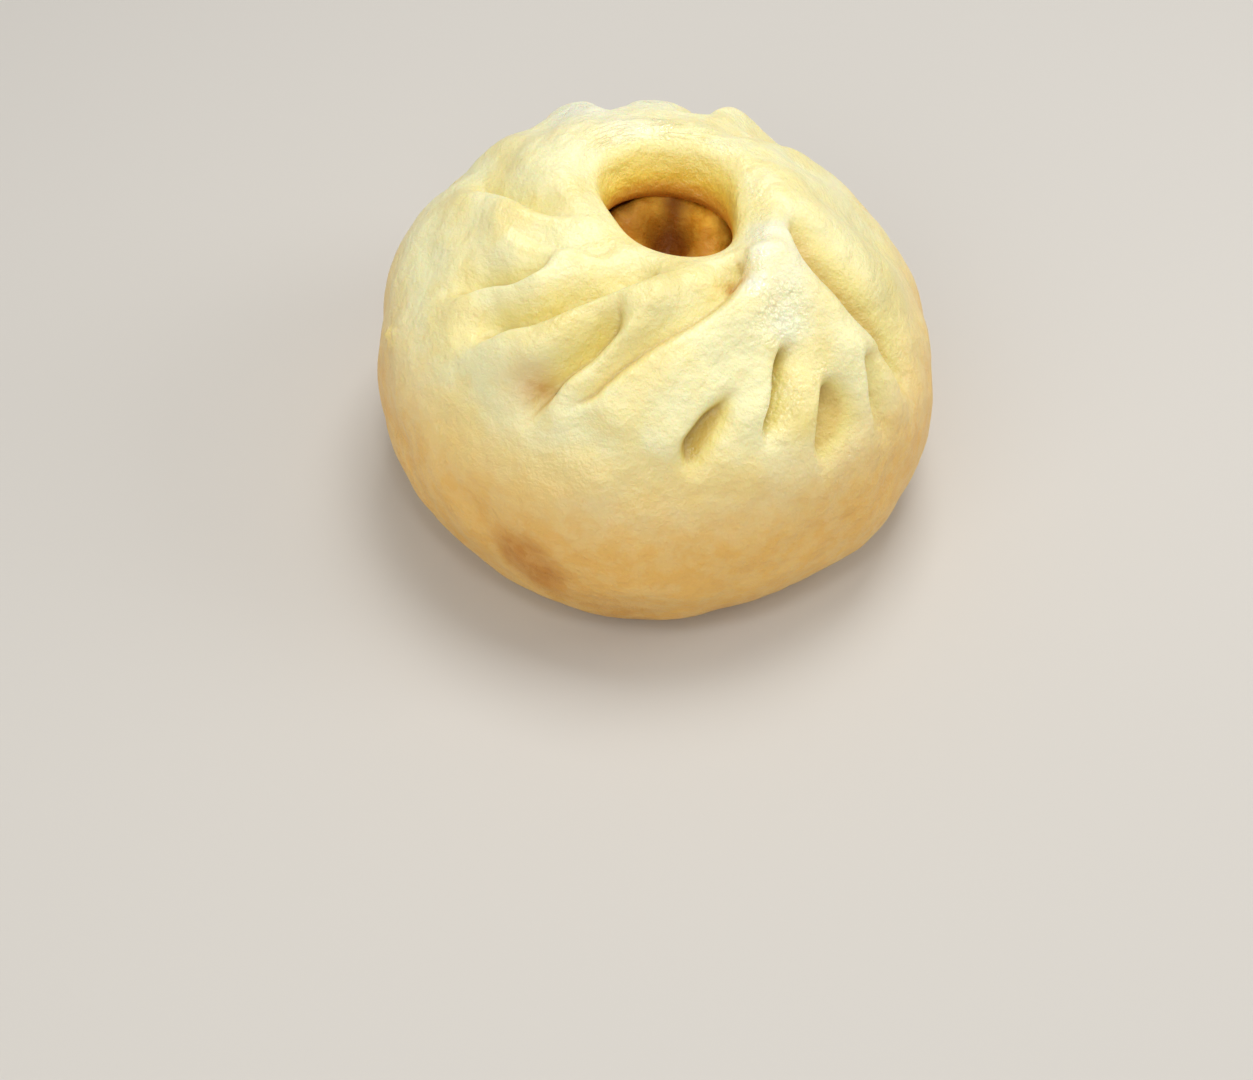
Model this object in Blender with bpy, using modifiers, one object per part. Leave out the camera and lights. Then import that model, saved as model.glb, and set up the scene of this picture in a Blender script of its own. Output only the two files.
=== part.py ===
"""Steamed bun with an open, pleated mouth and a lump of meat filling.

Two pieces: the dough, a thick shell whose skin is gathered into folds round
the mouth, and the filling that lies in its hollow.

Blender script, metres, +Z up. The origin is the middle of the flat foot and
-Y is the front. The values below are in millimetres and degrees. A place on
the skin is an azimuth (0 is +X) and a distance along the skin from the axis.
"""
import math

import bpy
import numpy as np

MM = 0.001
BUN_NAME = "steamed_bun"

# ---- the round body ----
GIRTH_RADIUS, GIRTH_HEIGHT = 47.0, 18.0
CROWN_HEIGHT = 60.5            # where the dome would close if it had no mouth
FOOT_RADIUS = 36.0
UPPER_POWER, LOWER_POWER = 2.0, 1.8    # 2 is an ellipse, more is squarer
CRATER_DEPTH, CRATER_RADIUS, CRATER_WIDTH = 5.5, 8.0, 7.0    # dip round the mouth

# ---- the mouth ----
MOUTH_X, MOUTH_Y = 1.5, 0.0
MOUTH_REACH = 12.0             # how far along the skin the mouth's offset fades out
LIP_START = 12.6               # distance along the skin where the skin ends at the lip
SOFT_LIP, SOFT_AZIMUTH = 1.8, 48.0     # on this side the lip begins further out and is a soft funnel
# the mouth's outline is uneven: times round, size, azimuth
OUTLINE = [(0, 0.7, 0.0), (1, 1.05, 98.0), (2, 1.3, -59.0), (3, 0.4, 39.0), (4, 0.45, -42.0)]
OUTLINE_FOOT = 0.15            # share of that at the throat's lower end
LIP_RISE, RISE_AZIMUTH = 1.0, 100.0    # the far lip stands higher

# ---- the throat and the hollow: (radius, height) downwards ----
THIN_THROAT = [(10.9, 54.65), (10.35, 53.95), (10.2, 52.5), (10.75, 49.9), (13.6, 46.8)]
SOFT_THROAT = [(12.4, 55.15), (11.2, 53.9), (10.4, 51.7), (10.0, 49.1), (10.9, 46.7)]
HOLLOW = [(16.0, 45.2), (22.5, 42.0), (29.5, 35.0), (33.0, 24.0), (30.5, 13.5),
          (22.0, 8.2), (11.0, 7.1), (0.0, 7.0)]
OFFSET_TOP, OFFSET_FOOT = 45.0, 30.0   # the mouth's offset fades out between these heights

# ---- the filling ----
FILLING_GAP = 0.6
FILLING_SHOULDER, FILLING_TOP = 24.0, 43.9     # the dome's foot is the hollow's widest ring
DOME_POWER, DOME_RINGS = 1.6, 7
FILLING_LUMPS = [(-5.2, 8.2, 4.2, 3.2), (8.0, 7.6, 4.6, 3.8), (1.6, 5.5, 3.6, -4.5), (0.5, 14.0, 6.0, 3.4),
                 (2.0, -8.0, 8.0, 1.0), (-14.0, -4.0, 8.0, 1.2)]     # x, y, reach, lift

# ---- facets ----
SKIN_STEPS, FILLING_STEPS = 96, 48
FOLD_STEP, BELLY_STEP = 2.05, 3.6      # spacing of the skin's rings
FOLDS_END = 56.0
TWIST = -48.0                  # the facets swirl with the folds by this much
MIN_WALL, MIN_VALLEY = 3.8, 4.4        # narrower folds are widened, and as much shallower

# ---- slow lumps of the skin: azimuth, distance, reach, lift ----
SKIN_LUMPS = [(46, 36, 15, -1.6), (10, 47, 15, -1.6), (164, 48, 20, 1.3), (146, 34, 10, 0.9),
              (118, 34, 8, 1.5), (95, 34, 8, 0.9), (69, 34, 7.5, 2.3),
              (-94, 84, 15, 0.5), (-60, 82, 13, -0.8), (-138, 80, 16, -0.8), (178, 72, 16, -0.9),
              (-15, 62, 22, 0.7), (-150, 56, 12, 1.0), (-95, 52, 12, 0.7)]
FOOT_FADE = 8.0                # folds and lumps die out this far above the foot's edge
LIP_FADE = 5.0                 # and this far from the lip

# ---- how every fold is rounded ----
CREST_BLUR, BLUR_GROWTH = 0.5, 0.25    # places off a crest are measured from a stretch of it
ROLL_BACK = 0.45               # a roll is highest this share of its width before the crease
CREST_LEAD = 1.2               # a crest with its valley clockwise runs this far before its path


def fold(path, side, depth, ridge, wall, valley, crest, fade_in, fade_out, taper=1.0):
    """A fold: its crest runs along path, (azimuth, distance) points from the mouth outwards.

    side is +1 where the valley lies clockwise of the crest, -1 where it lies anticlockwise,
    and 0 for a plain groove. The roll rises by ridge, and the valley falls by depth across the wall.
    taper is the valley's depth and width at the far end of the crest, as a share of those at its start.
    """
    return {"path": path, "side": side, "depth": depth, "ridge": ridge, "wall": wall, "valley": valley,
            "crest": crest, "fade_in": fade_in, "fade_out": fade_out, "taper": taper}


FOLDS = [
    # right of the middle, valleys on the right of their crests
    fold([(-8, 18), (-17, 19.6), (-24, 21.5), (-30.5, 26), (-31, 35), (-29.5, 42), (-29, 48), (-28.5, 57)],
         -1, 4.2, 1.7, 1.8, 7.5, 4.5, 12, 16),
    fold([(-32, 40), (-36.3, 42.5), (-38.1, 46.5), (-39.7, 51.5), (-40.5, 58)],
         -1, 2.2, 1.1, 2.2, 4.6, 3.2, 6, 12),
    fold([(-46, 41), (-49.7, 43.5), (-53.7, 47), (-56, 51), (-56.5, 55)], -1, 2.7, 1.2, 1.2, 5.0, 2.8, 5, 8),
    fold([(-52.5, 33.5), (-57.5, 36.3), (-61.6, 40.4), (-66, 44.5), (-67.5, 47)],
         -1, 3.0, 1.2, 1.0, 2.6, 2.6, 3.5, 6),
    fold([(-71.6, 37.7), (-74.5, 39.8), (-79.9, 43), (-84, 46.5), (-86, 49)],
         -1, 4.0, 1.0, 1.7, 2.8, 3.2, 8, 5),
    # left of the middle, long swirling crests with the valley behind them
    fold([(-46, 17), (-53.3, 20.5), (-64, 24.2), (-79, 27.8), (-91.7, 31.6), (-98.6, 34.8), (-104.3, 39.2),
          (-108, 44)], 1, 3.2, 1.6, 1.5, 5.0, 5.0, 3.5, 7, taper=0.4),
    fold([(-100, 26), (-103.1, 29.3), (-109.1, 34.7), (-115, 40.2), (-116.5, 44), (-116.5, 48)],
         1, 3.8, 1.2, 1.6, 5.0, 3.0, 6, 9, taper=0.7),
    fold([(-90, 18.5), (-100.5, 21.6), (-115.3, 25.3), (-127.4, 31.9), (-133.1, 35), (-137.6, 38.5),
          (-142.5, 44)], 1, 4.0, 1.9, 1.8, 5.6, 5.0, 6, 10),
    fold([(-138, 23.5), (-142.6, 27.5), (-146.6, 30.8), (-152.9, 35), (-157, 42)],
         1, 2.6, 1.2, 1.6, 4.4, 3.8, 5, 9),
    fold([(-120, 17.5), (-126.7, 18.7), (-142.5, 22), (-154.9, 24.9), (-163, 30)],
         1, 1.3, 0.8, 2.2, 5.0, 4.5, 7, 8),
    fold([(-157, 21), (-164.7, 22), (-173.9, 24), (-188.6, 29.8), (-196, 38)],
         1, 2.4, 1.4, 1.9, 4.6, 4.2, 10, 9),
]

# the far side's grooves are alike: azimuth, depth, width
BACK_GROOVES = [(155, 1.3, 4.0), (131, 1.8, 4.0), (107, 2.2, 3.2), (79, 4.6, 3.0), (57, 1.5, 4.0),
                (35, 1.0, 4.0), (13, 0.8, 4.0)]
BACK_SWIRL = [(5, 27), (0, 33), (-3, 43), (-4, 55)]    # turn from the groove, distance
for groove_azimuth, groove_depth, groove_width in BACK_GROOVES:
    swirl = [(groove_azimuth + turn, distance) for turn, distance in BACK_SWIRL]
    FOLDS.append(fold(swirl, 0, groove_depth, 0.0, 1.0, groove_width, 4.0, 7, 18))


def smooth(x):
    """0 to 1 with soft ends."""
    x = np.clip(x, 0.0, 1.0)
    return x * x * (3.0 - 2.0 * x)


def bump(distance, reach):
    return np.exp(-(distance / reach) ** 2)


def spline(points, per_span=12):
    """Smooth curve through the points."""
    points = np.asarray(points, float)
    ends = np.vstack([2 * points[0] - points[1], points, 2 * points[-1] - points[-2]])
    spans = len(points) - 1
    curve = []
    for i in range(spans):
        t = np.linspace(0, 1, per_span, endpoint=(i == spans - 1))[:, None]
        p0, p1, p2, p3 = ends[i:i + 4]
        curve.append(0.5 * (2 * p1 + (p2 - p0) * t + (2 * p0 - 5 * p1 + 4 * p2 - p3) * t ** 2
                            + (3 * p1 - p0 - 3 * p2 + p3) * t ** 3))
    return np.vstack(curve)


def dome_section(samples=400):
    """The round body's section without a mouth: distance along it, radius and height."""
    turn = np.linspace(0, math.pi / 2, samples)
    upper_r = GIRTH_RADIUS * np.cos(turn) ** (2 / UPPER_POWER)
    upper_z = GIRTH_HEIGHT + (CROWN_HEIGHT - GIRTH_HEIGHT) * np.sin(turn) ** (2 / UPPER_POWER)
    lower_r = FOOT_RADIUS + (GIRTH_RADIUS - FOOT_RADIUS) * np.sin(turn) ** (2 / LOWER_POWER)
    lower_z = GIRTH_HEIGHT * (1 - np.cos(turn) ** (2 / LOWER_POWER))
    r = np.concatenate([upper_r[::-1], lower_r[::-1][1:]])
    z = np.concatenate([upper_z[::-1], lower_z[::-1][1:]])
    z -= CRATER_DEPTH * bump(r - CRATER_RADIUS, CRATER_WIDTH) * (z > GIRTH_HEIGHT)
    s = np.concatenate([[0.0], np.cumsum(np.hypot(np.diff(r), np.diff(z)))])
    return s, r, z


SECTION = dome_section()
SKIN_END = SECTION[0][-1]


def on_section(s):
    return np.interp(s, SECTION[0], SECTION[1]), np.interp(s, SECTION[0], SECTION[2])


def fold_offsets(azimuth, s):
    """Lift along the skin's normal at each place."""
    x, y = s * np.cos(azimuth), s * np.sin(azimuth)
    lift = np.zeros_like(x)
    for f in FOLDS:
        turns, distances = np.radians([a for a, d in f["path"]]), np.array([d for a, d in f["path"]])
        crest = spline(np.stack([distances * np.cos(turns), distances * np.sin(turns)], axis=1))
        run = np.concatenate([[0.0], np.cumsum(np.hypot(*np.diff(crest, axis=0).T))])
        tangent = np.gradient(crest, axis=0)
        tangent /= np.linalg.norm(tangent, axis=1)[:, None]
        dx, dy = x[:, None] - crest[:, 0], y[:, None] - crest[:, 1]
        square = dx ** 2 + dy ** 2
        nearest = square.min(axis=1, keepdims=True)
        weight = np.exp((nearest - square) / (2 * (CREST_BLUR + BLUR_GROWTH * np.sqrt(nearest)) ** 2))
        weight /= weight.sum(axis=1, keepdims=True)
        side = f["side"] or 1
        across_x, across_y = tangent[:, 1] * side, -tangent[:, 0] * side    # towards the valley
        along = (weight * (run + dx * tangent[:, 0] + dy * tangent[:, 1])).sum(axis=1)
        u = (weight * (dx * across_x + dy * across_y)).sum(axis=1) + CREST_LEAD * max(f["side"], 0)
        strength = (smooth((along + 0.3 * f["fade_in"]) / f["fade_in"])
                    * smooth((run[-1] - along + 0.2 * f["fade_out"]) / f["fade_out"]))
        tapered = 1 + (f["taper"] - 1) * smooth(along / run[-1])
        wall, full_width = max(f["wall"], MIN_WALL), max(f["valley"], MIN_VALLEY)
        depth = f["depth"] * tapered * f["valley"] / full_width
        valley_width = np.maximum(full_width * tapered, MIN_VALLEY)
        if f["side"]:
            fallen, beyond = smooth(u / wall), np.maximum(u - wall, 0)
        else:
            fallen, beyond = np.ones_like(u), u
        roll = f["ridge"] * (1 - fallen) * bump(u + ROLL_BACK * f["crest"], f["crest"])
        valley = depth * fallen * bump(beyond, valley_width)
        lift += strength * (roll - valley)
    return lift


def facing(azimuth, centre):
    """1 towards the centre azimuth, 0 away from it."""
    return 0.5 + 0.5 * np.cos(azimuth - math.radians(centre))


def lip_spread(azimuth):
    return sum(size * np.cos(times * (azimuth - math.radians(at))) for times, size, at in OUTLINE)


def lip_rise(azimuth):
    return LIP_RISE * facing(azimuth, RISE_AZIMUTH) ** 1.5


def shaped_skin(azimuth, s):
    """Places on the folded skin."""
    step = 0.15
    r, z = on_section(s)
    (r_in, z_in), (r_out, z_out) = on_section(s - step), on_section(s + step)
    length = np.hypot(r_out - r_in, z_out - z_in)
    along_r, along_z = (r_out - r_in) / length, (z_out - z_in) / length
    cos, sin = np.cos(azimuth), np.sin(azimuth)
    lift = fold_offsets(azimuth, s)
    base = np.stack([r * cos, r * sin, z], axis=1)
    for lump_azimuth, lump_s, reach, height in SKIN_LUMPS:
        lump_r, lump_z = on_section(lump_s)
        turn = math.radians(lump_azimuth)
        centre = np.array([lump_r * math.cos(turn), lump_r * math.sin(turn), lump_z])
        lift += height * bump(np.linalg.norm(base - centre, axis=1), reach)
    lip = LIP_START + SOFT_LIP * facing(azimuth, SOFT_AZIMUTH)
    lift *= smooth((s - lip) / LIP_FADE) * smooth((SKIN_END - s) / FOOT_FADE)
    near_lip = bump(np.maximum(s - MOUTH_REACH, 0), 0.75 * MOUTH_REACH)
    r = r - lift * along_z + lip_spread(azimuth) * near_lip
    z = z + lift * along_r + lip_rise(azimuth) * near_lip
    offset = bump(np.maximum(s - MOUTH_REACH, 0), MOUTH_REACH)
    return np.stack([r * cos + MOUTH_X * offset, r * sin + MOUTH_Y * offset, z], axis=1)


def shaped_hollow(azimuth, ring):
    """Places on the throat and the hollow, between the thin and the soft section."""
    thin, soft = np.array(THIN_THROAT + HOLLOW), np.array(SOFT_THROAT + HOLLOW)
    share = facing(azimuth, SOFT_AZIMUTH)
    r = thin[ring, 0] + (soft[ring, 0] - thin[ring, 0]) * share
    z = thin[ring, 1] + (soft[ring, 1] - thin[ring, 1]) * share
    offset = np.clip((z - OFFSET_FOOT) / (OFFSET_TOP - OFFSET_FOOT), 0, 1)
    top, foot = THIN_THROAT[0][1], SOFT_THROAT[-1][1]
    near_lip = smooth((z - foot) / (top - foot))
    r = r + lip_spread(azimuth) * (OUTLINE_FOOT + (1 - OUTLINE_FOOT) * near_lip) * offset
    return np.stack([r * np.cos(azimuth) + MOUTH_X * offset, r * np.sin(azimuth) + MOUTH_Y * offset,
                     z + lip_rise(azimuth) * near_lip], axis=1)


def shaped_filling(places):
    """Lumps on the top of the filling, none on its sides."""
    top = smooth((places[:, 2] - FILLING_SHOULDER) / (0.5 * (FILLING_TOP - FILLING_SHOULDER)))
    for lump_x, lump_y, reach, height in FILLING_LUMPS:
        distance = np.hypot(places[:, 0] - lump_x, places[:, 1] - lump_y)
        places[:, 2] += height * top * bump(distance, reach)
    return places


def turned(name, profile, steps, material, collection, reshape):
    """Turn a profile round Z, then move its points with reshape(places)."""
    mesh = bpy.data.meshes.new(name + "_profile")
    edges = [(i, i + 1) for i in range(len(profile) - 1)]
    mesh.from_pydata([(r * MM, 0, z * MM) for r, z in profile], edges, [])
    blank = bpy.data.objects.new(name + "_profile", mesh)
    collection.objects.link(blank)
    screw = blank.modifiers.new("turn", 'SCREW')
    screw.axis = 'Z'
    screw.angle = 2 * math.pi
    screw.steps = steps
    screw.render_steps = steps
    screw.use_merge_vertices = True
    screw.merge_threshold = 0.00005
    screw.use_smooth_shade = True
    graph = bpy.context.evaluated_depsgraph_get()
    body = bpy.data.meshes.new_from_object(blank.evaluated_get(graph))
    bpy.data.objects.remove(blank)
    places = np.array([v.co for v in body.vertices]) / MM
    for vertex, place in zip(body.vertices, reshape(places)):
        vertex.co = place * MM
    body.name = name
    body.materials.clear()
    body.materials.append(material)
    piece = bpy.data.objects.new(name, body)
    collection.objects.link(piece)
    return piece


def make_material(name, colour, roughness):
    material = bpy.data.materials.new(name)
    material.use_nodes = True
    shader = material.node_tree.nodes["Principled BSDF"]
    shader.inputs["Base Color"].default_value = (*colour, 1.0)
    shader.inputs["Roughness"].default_value = roughness
    shader.inputs["Metallic"].default_value = 0.0
    return material


def make_dough(collection):
    """The dough's shell: hollow's floor, throat, lip, folded skin and flat foot in one turn."""
    rings = list(np.arange(LIP_START, FOLDS_END, FOLD_STEP))
    rings += list(np.linspace(FOLDS_END, SKIN_END, round((SKIN_END - FOLDS_END) / BELLY_STEP) + 1))
    rings = np.array(rings)
    inside = THIN_THROAT + HOLLOW
    skin = [tuple(float(v) for v in on_section(s)) for s in rings]
    profile = inside[::-1] + skin + [(0.0, 0.0)]
    first_skin, last_skin = len(inside), len(inside) + len(rings) - 1

    def reshape(places):
        azimuth = np.arctan2(places[:, 1], places[:, 0])
        radius, height = np.hypot(places[:, 0], places[:, 1]), places[:, 2].copy()
        section = np.array(profile)
        ring = np.hypot(radius[:, None] - section[:, 0], height[:, None] - section[:, 1]).argmin(axis=1)
        hollow, on_skin = ring < first_skin, (ring >= first_skin) & (ring <= last_skin)
        places[hollow] = shaped_hollow(azimuth[hollow], first_skin - 1 - ring[hollow])
        s, turn = rings[ring[on_skin] - first_skin], azimuth[on_skin]
        from_lip = smooth((s - LIP_START) / (FOLDS_END - LIP_START))
        s = s + SOFT_LIP * (1 - from_lip) * facing(turn, SOFT_AZIMUTH)
        places[on_skin] = shaped_skin(turn + math.radians(TWIST) * from_lip, s)
        return places

    material = make_material("dough_skin", (0.85, 0.74, 0.42), 0.45)
    return turned("dough", profile, SKIN_STEPS, material, collection, reshape)


def make_filling(collection):
    """The filling: the hollow's lower part less a small gap, under a lumpy dome."""
    wall = [point for point in HOLLOW if point[1] <= FILLING_SHOULDER]
    section = np.array(wall)
    along = np.gradient(section, axis=0)
    along /= np.linalg.norm(along, axis=1)[:, None]
    inward = np.stack([along[:, 1], -along[:, 0]], axis=1)
    section += FILLING_GAP * inward
    section[-1, 0] = 0.0
    shoulder_r = section[0, 0]
    turns = np.linspace(math.pi / 2, 0, DOME_RINGS + 1)
    dome_height = FILLING_TOP - FILLING_SHOULDER
    dome = [(shoulder_r * max(math.cos(t), 0.0) ** DOME_POWER, FILLING_SHOULDER + dome_height * math.sin(t))
            for t in turns]
    dome[0] = (0.0, FILLING_TOP)
    profile = dome[:-1] + [tuple(point) for point in section]
    material = make_material("meat_filling", (0.36, 0.16, 0.04), 0.4)
    return turned("filling", profile, FILLING_STEPS, material, collection, shaped_filling)


def main():
    for item in list(bpy.data.objects):
        bpy.data.objects.remove(item)
    collection = bpy.data.collections.new(BUN_NAME)
    bpy.context.scene.collection.children.link(collection)
    make_dough(collection)
    make_filling(collection)


main()
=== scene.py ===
import math

import bpy
import numpy as np
from mathutils import Matrix, Vector


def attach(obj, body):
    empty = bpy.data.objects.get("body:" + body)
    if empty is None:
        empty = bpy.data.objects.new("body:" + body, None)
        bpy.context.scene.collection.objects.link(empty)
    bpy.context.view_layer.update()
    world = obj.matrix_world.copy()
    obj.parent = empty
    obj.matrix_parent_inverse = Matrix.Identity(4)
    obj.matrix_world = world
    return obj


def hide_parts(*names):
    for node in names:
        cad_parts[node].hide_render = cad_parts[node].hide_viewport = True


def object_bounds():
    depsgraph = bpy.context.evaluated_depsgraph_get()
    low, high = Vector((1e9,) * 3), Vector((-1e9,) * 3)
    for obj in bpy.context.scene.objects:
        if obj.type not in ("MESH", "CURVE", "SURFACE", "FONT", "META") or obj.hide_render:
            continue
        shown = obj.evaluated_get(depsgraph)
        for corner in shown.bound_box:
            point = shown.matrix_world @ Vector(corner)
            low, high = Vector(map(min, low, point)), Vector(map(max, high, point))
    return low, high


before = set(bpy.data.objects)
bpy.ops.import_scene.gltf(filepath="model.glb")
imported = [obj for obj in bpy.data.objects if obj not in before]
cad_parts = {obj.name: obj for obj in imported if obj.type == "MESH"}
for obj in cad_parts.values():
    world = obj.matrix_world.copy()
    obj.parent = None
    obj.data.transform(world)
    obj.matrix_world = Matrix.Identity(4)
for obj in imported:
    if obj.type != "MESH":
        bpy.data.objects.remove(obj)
cadLow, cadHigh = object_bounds()
print("frame loaded, bun box", [round(v, 4) for v in (*cadLow, *cadHigh)])

# The bun is drawn in millimetres at this width, and scaled to the frame's own width.
# A place on the skin is an azimuth (0 is +X, -90 the front) and a distance along the skin
# from the bun's axis.
drawnWidth = 93.7
unit = (cadHigh.x - cadLow.x) / drawnWidth


def smooth(x):
    x = np.clip(x, 0.0, 1.0)
    return x * x * (3.0 - 2.0 * x)


def bump(distance, reach):
    return np.exp(-(distance / reach) ** 2)


def spline(points, perSpan=14):
    points = np.asarray(points, float)
    ends = np.vstack([2 * points[0] - points[1], points, 2 * points[-1] - points[-2]])
    spans = len(points) - 1
    curve = []
    for i in range(spans):
        t = np.linspace(0, 1, perSpan, endpoint=(i == spans - 1))[:, None]
        p0, p1, p2, p3 = ends[i:i + 4]
        curve.append(0.5 * (2 * p1 + (p2 - p0) * t + (2 * p0 - 5 * p1 + 4 * p2 - p3) * t ** 2
                            + (3 * p1 - p0 - 3 * p2 + p3) * t ** 3))
    return np.vstack(curve)


def latticeNoise(places, cell, seed):
    # smooth noise from -1 to 1, the same on every run
    size, away = 24, 11.3        # cells before it repeats, and a shift that keeps its seam off the axis
    table = np.random.default_rng(seed).uniform(-1, 1, (size, size, size))
    spot = np.asarray(places) / cell + away
    corner = np.floor(spot).astype(int)
    part = spot - corner
    part = part * part * (3 - 2 * part)
    value = np.zeros(len(spot))
    for dx in (0, 1):
        for dy in (0, 1):
            for dz in (0, 1):
                weight = 1.0
                for axis, side in enumerate((dx, dy, dz)):
                    weight = weight * (part[:, axis] if side else 1 - part[:, axis])
                index = (corner + (dx, dy, dz)) % size
                value += weight * table[index[:, 0], index[:, 1], index[:, 2]]
    return value


body = {
    "girthRadius": 47.0, "girthHeight": 18.0, "crownHeight": 60.5, "footRadius": 36.0,
    "upperPower": 2.0, "lowerPower": 1.8,
    "craterDepth": 5.5, "craterRadius": 8.0, "craterWidth": 7.0,
    "footFade": 8.0,          # folds and lumps die out this far above the foot's edge
    "footRings": (0.97, 0.9, 0.6, 0.3, 0.0),     # the flat foot's rings, as shares of its edge
}
mouth = {
    "x": 1.5, "y": 0.0, "reach": 12.0,       # the mouth sits a little off the bun's axis
    "lipStart": 12.6,                        # distance along the skin where the lip begins
    # its outline is uneven: times round, size, azimuth
    "outline": [(0, 0.7, 0.0), (1, 1.05, 98.0), (2, 1.3, -59.0), (3, 0.4, 39.0), (4, 0.45, -42.0)],
    "footShare": 0.15,                       # share of that at the throat's lower end
    "rise": 1.0, "riseAzimuth": 100.0, "risePower": 1.5,      # the far lip stands higher
    "spreadReach": 9.0,                      # the outline and the rise fade out over this much skin
    "lipFade": 5.0,                          # folds and lumps die out this far from the lip
    # throat, (radius, height) downwards: a short round lip near left, a soft funnel far right
    "thinThroat": [(10.9, 54.65), (10.6, 54.35), (10.35, 53.95), (10.22, 53.4), (10.2, 52.5),
                   (10.3, 51.3), (10.75, 49.9), (11.8, 48.3), (13.6, 46.8)],
    "softThroat": [(12.4, 55.15), (11.8, 54.65), (11.2, 53.9), (10.75, 52.9), (10.4, 51.7),
                   (10.15, 50.4), (10.0, 49.1), (9.95, 47.9), (10.9, 46.7)],
    "softLip": 1.8,                          # the soft lip begins this much further out
    "softAzimuth": 48.0,
    "hollow": [(16.0, 45.2), (22.5, 42.0), (29.5, 35.0), (33.0, 24.0), (30.5, 13.5),
               (22.0, 8.2), (11.0, 7.1), (0.0, 7.0)],
    "offsetTop": 45.0, "offsetFoot": 30.0,
}
weave = {
    "around": 600, "foldStep": 0.55, "bellyStep": 1.15, "foldsEnd": 56.0,
    "twist": -48.0,           # the mesh swirls with the folds by this much
    "throatSpan": 4,          # rings between two of the throat's places
}
lumps = {
    # azimuth, distance along the skin, reach, lift
    "slow": [(46, 36, 15, -1.6), (10, 47, 15, -1.6), (164, 48, 20, 1.3), (146, 34, 10, 0.9),
             (118, 34, 8, 1.5), (95, 34, 8, 0.9), (69, 34, 7.5, 2.3), (-58, 21.5, 2.4, -1.4),
             (-94, 84, 15, 0.5), (-60, 82, 13, -0.8), (-138, 80, 16, -0.8), (178, 72, 16, -0.9),
             (-15, 62, 22, 0.7), (-150, 56, 12, 1.0), (-95, 52, 12, 0.7)],
    "torn": [(-167, 55, 1.7, 0.9), (-164.5, 52, 1.3, 0.8), (-163.5, 54.5, 1.2, 0.7)],
    "tornCell": 0.9, "tornSeed": 51,
    "uneven": [(13.0, 0.85, 4), (6.5, 0.50, 9), (3.2, 0.16, 5), (1.5, 0.04, 12)],   # cell, lift, seed
}
wrinkles = {
    # gathers that run with the folds, and finer ones that ring the far lip
    "gather": {"lift": 0.28, "around": 9.0, "along": 13.0, "from": 13.0, "fadeIn": 5,
               "to": 50.0, "fadeOut": 20, "seed": 31},
    "ring": {"lift": 0.30, "around": 2.2, "along": 1.3, "azimuth": 95.0, "distance": 18.5,
             "span": 48.0, "width": 5.0, "seed": 33},
}


def fold(path, side, depth, ridge, wall, valley, crest, fadeIn, fadeOut, tint=0.5, creaseShade=0.0, taper=1.0):
    # path: (azimuth, distance) points of the crest from the mouth outwards
    # side: 1 where the valley lies clockwise of the crest, -1 anticlockwise
    # tint: how strongly painted shade yellows the valley, the next: how dark the painted shade line at its
    # crease's foot is, taper: its depth and width at the far end
    return {"path": path, "side": side, "depth": depth, "ridge": ridge, "wall": wall, "valley": valley,
            "crest": crest, "fadeIn": fadeIn, "fadeOut": fadeOut, "tint": tint, "creaseShade": creaseShade, "taper": taper}


folds = [
    # right of the middle, valleys on the right of their crests
    fold([(-8, 18), (-17, 19.6), (-24, 21.5), (-30.5, 26), (-31, 35), (-29.5, 42), (-29, 48), (-28.5, 57)],
         -1, 4.2, 1.7, 1.8, 7.5, 4.5, 12, 16, 1.1),
    fold([(-32, 40), (-36.3, 42.5), (-38.1, 46.5), (-39.7, 51.5), (-40.5, 58)],
         -1, 2.0, 1.1, 2.2, 4.6, 3.2, 6, 12, 1.0, 0.2),
    fold([(-46, 41), (-49.7, 43.5), (-53.7, 47), (-56, 51), (-56.5, 55)],
         -1, 3.0, 1.2, 1.2, 6.4, 2.8, 7, 13, 2.1, 0.6),
    fold([(-52.5, 33.5), (-57.5, 36.3), (-61.6, 40.4), (-66, 44.5), (-67.5, 47)],
         -1, 3.0, 1.2, 1.0, 2.4, 2.6, 3.5, 6, 1.0, 0.7),
    fold([(-74.3, 36.8), (-77, 38.9), (-82, 42.4), (-85.5, 45.4), (-87.4, 48.8)],
         -1, 3.0, 1.0, 1.5, 2.8, 3.2, 8, 7, 1.7, 0.7, 1.4),
    # left of the middle, long swirling crests with the valley behind them
    fold([(-46, 17), (-53.3, 20.5), (-64, 24.2), (-79, 27.8), (-91.7, 31.6), (-98.6, 34.8), (-104.3, 39.2),
          (-108, 44)], 1, 3.2, 1.6, 1.5, 5.0, 5.0, 3.5, 7, 0.5, 0.9, 0.4),
    fold([(-100, 26), (-103.1, 29.3), (-109.1, 34.7), (-115, 40.2), (-116.5, 44), (-116.5, 48)],
         1, 3.8, 1.2, 1.6, 5.0, 3.0, 6, 9, 0.7, 0.7, 0.7),
    fold([(-90, 18.5), (-100.5, 21.6), (-115.3, 25.3), (-127.4, 31.9), (-133.1, 35), (-137.6, 38.5),
          (-142.5, 44)], 1, 4.0, 1.9, 1.8, 5.6, 5.0, 6, 10, 0.6, 0.7),
    fold([(-138, 23.5), (-142.6, 27.5), (-146.6, 30.8), (-152.9, 35), (-157, 42)],
         1, 2.6, 1.2, 1.6, 4.4, 3.8, 5, 9, 0.7, 0.5),
    fold([(-120, 17.5), (-126.7, 18.7), (-142.5, 22), (-154.9, 24.9), (-163, 30)],
         1, 1.3, 0.8, 2.2, 5.0, 4.5, 7, 8, 0.5),
    fold([(-157, 21), (-164.7, 22), (-173.9, 24), (-188.6, 29.8), (-196, 38)],
         1, 2.4, 1.4, 1.9, 4.6, 4.2, 10, 9, 0.6),
]
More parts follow.
